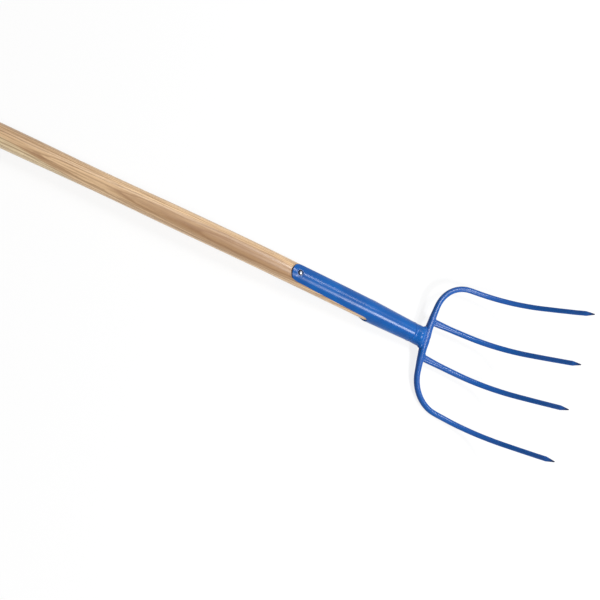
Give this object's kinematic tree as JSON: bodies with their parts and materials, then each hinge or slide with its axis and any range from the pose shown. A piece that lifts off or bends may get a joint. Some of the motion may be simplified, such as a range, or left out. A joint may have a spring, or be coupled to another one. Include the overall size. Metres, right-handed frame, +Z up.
{
  "type": "hay fork",
  "caption": "Long-handled hay fork: ash pole riveted into a strapped steel socket, with a forged bow of dished, round, pointed tines for pitching hay and straw.",
  "frame": {"origin": "On the floor under the middle of the fork's length and width, with the fork lying on its back at rest on the butt of the handle, the neck collar and the right shoulder of the bow.", "axes": "+X runs from the butt of the handle to the tine points, +Y is to the left as seen from the handle with the hollow side up, +Z is up, on the hollow side of the tines. The round collar lets the fork lean, so the head is turned 5.9 degrees about X, right side down."},
  "size_m": [1.6006, 0.2554, 0.1352],
  "materials": {
    "ash_wood": "clear satin lacquer over open ash grain",
    "blue_paint": "glossy dipped enamel over forged steel",
    "rivet_steel": "bare bright steel"
  },
  "bodies": {
    "root": {"handle": "ash_wood", "socket": "blue_paint", "strap_rivet": "rivet_steel", "rivet_washer": "rivet_steel", "neck_collar": "blue_paint", "socket_weld": "blue_paint", "tine_bow": "blue_paint", "neck_weld": "blue_paint", "inner_tine_left": "blue_paint", "inner_tine_right": "blue_paint", "tine_weld_left": "blue_paint", "tine_weld_right": "blue_paint"}
  },
  "joints": []
}
